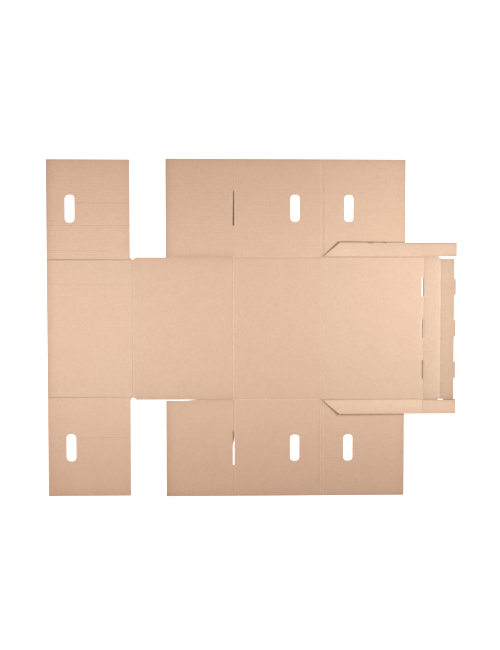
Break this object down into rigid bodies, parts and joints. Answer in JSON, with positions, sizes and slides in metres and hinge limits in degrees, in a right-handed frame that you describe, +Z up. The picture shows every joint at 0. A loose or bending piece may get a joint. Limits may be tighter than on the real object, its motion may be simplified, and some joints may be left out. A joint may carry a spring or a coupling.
{
  "type": "unfolded archive box blank with lid",
  "caption": "Flat die-cut corrugated cardboard blank that folds up into an archive box with double side walls, hand holes and an attached lid with a locking rim.",
  "frame": {"origin": "on the underside, under the middle of the flat blank's outline", "axes": "+X from the front wall's free edge to the lid's front rim, +Y towards the left side walls, +Z up out of the face that becomes the inside of the box"},
  "size_m": [1.267, 1.044, 0.003],
  "materials": {
    "board": "matte brown kraft liner"
  },
  "bodies": {
    "base": {"base": "board"},
    "front_wall": {"front_wall": "board"},
    "front_flap_left": {"front_flap_left": "board"},
    "front_flap_right": {"front_flap_right": "board"},
    "back_wall": {"back_wall": "board"},
    "side_wall_left": {"side_wall_left": "board"},
    "side_wall_right": {"side_wall_right": "board"},
    "bottom_flap_left": {"bottom_flap_left": "board"},
    "bottom_flap_right": {"bottom_flap_right": "board"},
    "side_roll_left": {"side_roll_left": "board"},
    "side_roll_right": {"side_roll_right": "board"},
    "inner_wall_left": {"inner_wall_left": "board"},
    "inner_wall_right": {"inner_wall_right": "board"},
    "lid": {"lid": "board"},
    "lid_rim_left": {"lid_rim_left": "board"},
    "lid_rim_right": {"lid_rim_right": "board"},
    "lid_corner_left": {"lid_corner_left": "board"},
    "lid_corner_right": {"lid_corner_right": "board"},
    "lid_front": {"lid_front": "board"},
    "lid_roll": {"lid_roll": "board"},
    "lid_lock": {"lid_lock": "board"}
  },
  "joints": [
    {"name": "front_wall_fold", "type": "hinge", "parent": "base", "child": "front_wall", "pos_m": [-0.371, 0, 0.002], "axis": [0, 1, 0], "range_deg": [0, 90]},
    {"name": "back_wall_fold", "type": "hinge", "parent": "base", "child": "back_wall", "pos_m": [-0.0615, 0, 0.002], "axis": [0, -1, 0], "range_deg": [0, 90]},
    {"name": "front_flap_left_fold", "type": "hinge", "parent": "front_wall", "child": "front_flap_left", "pos_m": [-0.50225, 0.2125, 0.002], "axis": [1, 0, 0], "range_deg": [0, 90]},
    {"name": "front_flap_right_fold", "type": "hinge", "parent": "front_wall", "child": "front_flap_right", "pos_m": [-0.50225, -0.2125, 0.002], "axis": [-1, 0, 0], "range_deg": [0, 90]},
    {"name": "side_wall_left_fold", "type": "hinge", "parent": "back_wall", "child": "side_wall_left", "pos_m": [0.07525, 0.218, 0.002], "axis": [1, 0, 0], "range_deg": [0, 90]},
    {"name": "bottom_flap_left_fold", "type": "hinge", "parent": "side_wall_left", "child": "bottom_flap_left", "pos_m": [-0.058, 0.37, 0.002], "axis": [0, 1, 0], "range_deg": [0, 90]},
    {"name": "side_roll_left_fold", "type": "hinge", "parent": "side_wall_left", "child": "side_roll_left", "pos_m": [0.2085, 0.37, 0.002], "axis": [0, -1, 0], "range_deg": [0, 90]},
    {"name": "inner_wall_left_fold", "type": "hinge", "parent": "side_roll_left", "child": "inner_wall_left", "pos_m": [0.218, 0.37, 0.002], "axis": [0, -1, 0], "range_deg": [0, 90]},
    {"name": "side_wall_right_fold", "type": "hinge", "parent": "back_wall", "child": "side_wall_right", "pos_m": [0.07525, -0.218, 0.002], "axis": [-1, 0, 0], "range_deg": [0, 90]},
    {"name": "bottom_flap_right_fold", "type": "hinge", "parent": "side_wall_right", "child": "bottom_flap_right", "pos_m": [-0.058, -0.37, 0.002], "axis": [0, 1, 0], "range_deg": [0, 90]},
    {"name": "side_roll_right_fold", "type": "hinge", "parent": "side_wall_right", "child": "side_roll_right", "pos_m": [0.2085, -0.37, 0.002], "axis": [0, -1, 0], "range_deg": [0, 90]},
    {"name": "inner_wall_right_fold", "type": "hinge", "parent": "side_roll_right", "child": "inner_wall_right", "pos_m": [0.218, -0.37, 0.002], "axis": [0, -1, 0], "range_deg": [0, 90]},
    {"name": "lid_fold", "type": "hinge", "parent": "back_wall", "child": "lid", "pos_m": [0.212, 0, 0.002], "axis": [0, -1, 0], "range_deg": [0, 90]},
    {"name": "lid_rim_left_fold", "type": "hinge", "parent": "lid", "child": "lid_rim_left", "pos_m": [0.37175, 0.2215, 0.002], "axis": [1, 0, 0], "range_deg": [0, 90]},
    {"name": "lid_corner_left_fold", "type": "hinge", "parent": "lid_rim_left", "child": "lid_corner_left", "pos_m": [0.5285, 0.244, 0.002], "axis": [0, -1, 0], "range_deg": [0, 90]},
    {"name": "lid_rim_right_fold", "type": "hinge", "parent": "lid", "child": "lid_rim_right", "pos_m": [0.37175, -0.2215, 0.002], "axis": [-1, 0, 0], "range_deg": [0, 90]},
    {"name": "lid_corner_right_fold", "type": "hinge", "parent": "lid_rim_right", "child": "lid_corner_right", "pos_m": [0.5285, -0.244, 0.002], "axis": [0, -1, 0], "range_deg": [0, 90]},
    {"name": "lid_front_fold", "type": "hinge", "parent": "lid", "child": "lid_front", "pos_m": [0.532, 0, 0.002], "axis": [0, -1, 0], "range_deg": [0, 90]},
    {"name": "lid_roll_fold", "type": "hinge", "parent": "lid_front", "child": "lid_roll", "pos_m": [0.5785, 0, 0.002], "axis": [0, -1, 0], "range_deg": [0, 90]},
    {"name": "lid_lock_fold", "type": "hinge", "parent": "lid_roll", "child": "lid_lock", "pos_m": [0.5845, 0, 0.002], "axis": [0, -1, 0], "range_deg": [0, 90]}
  ]
}
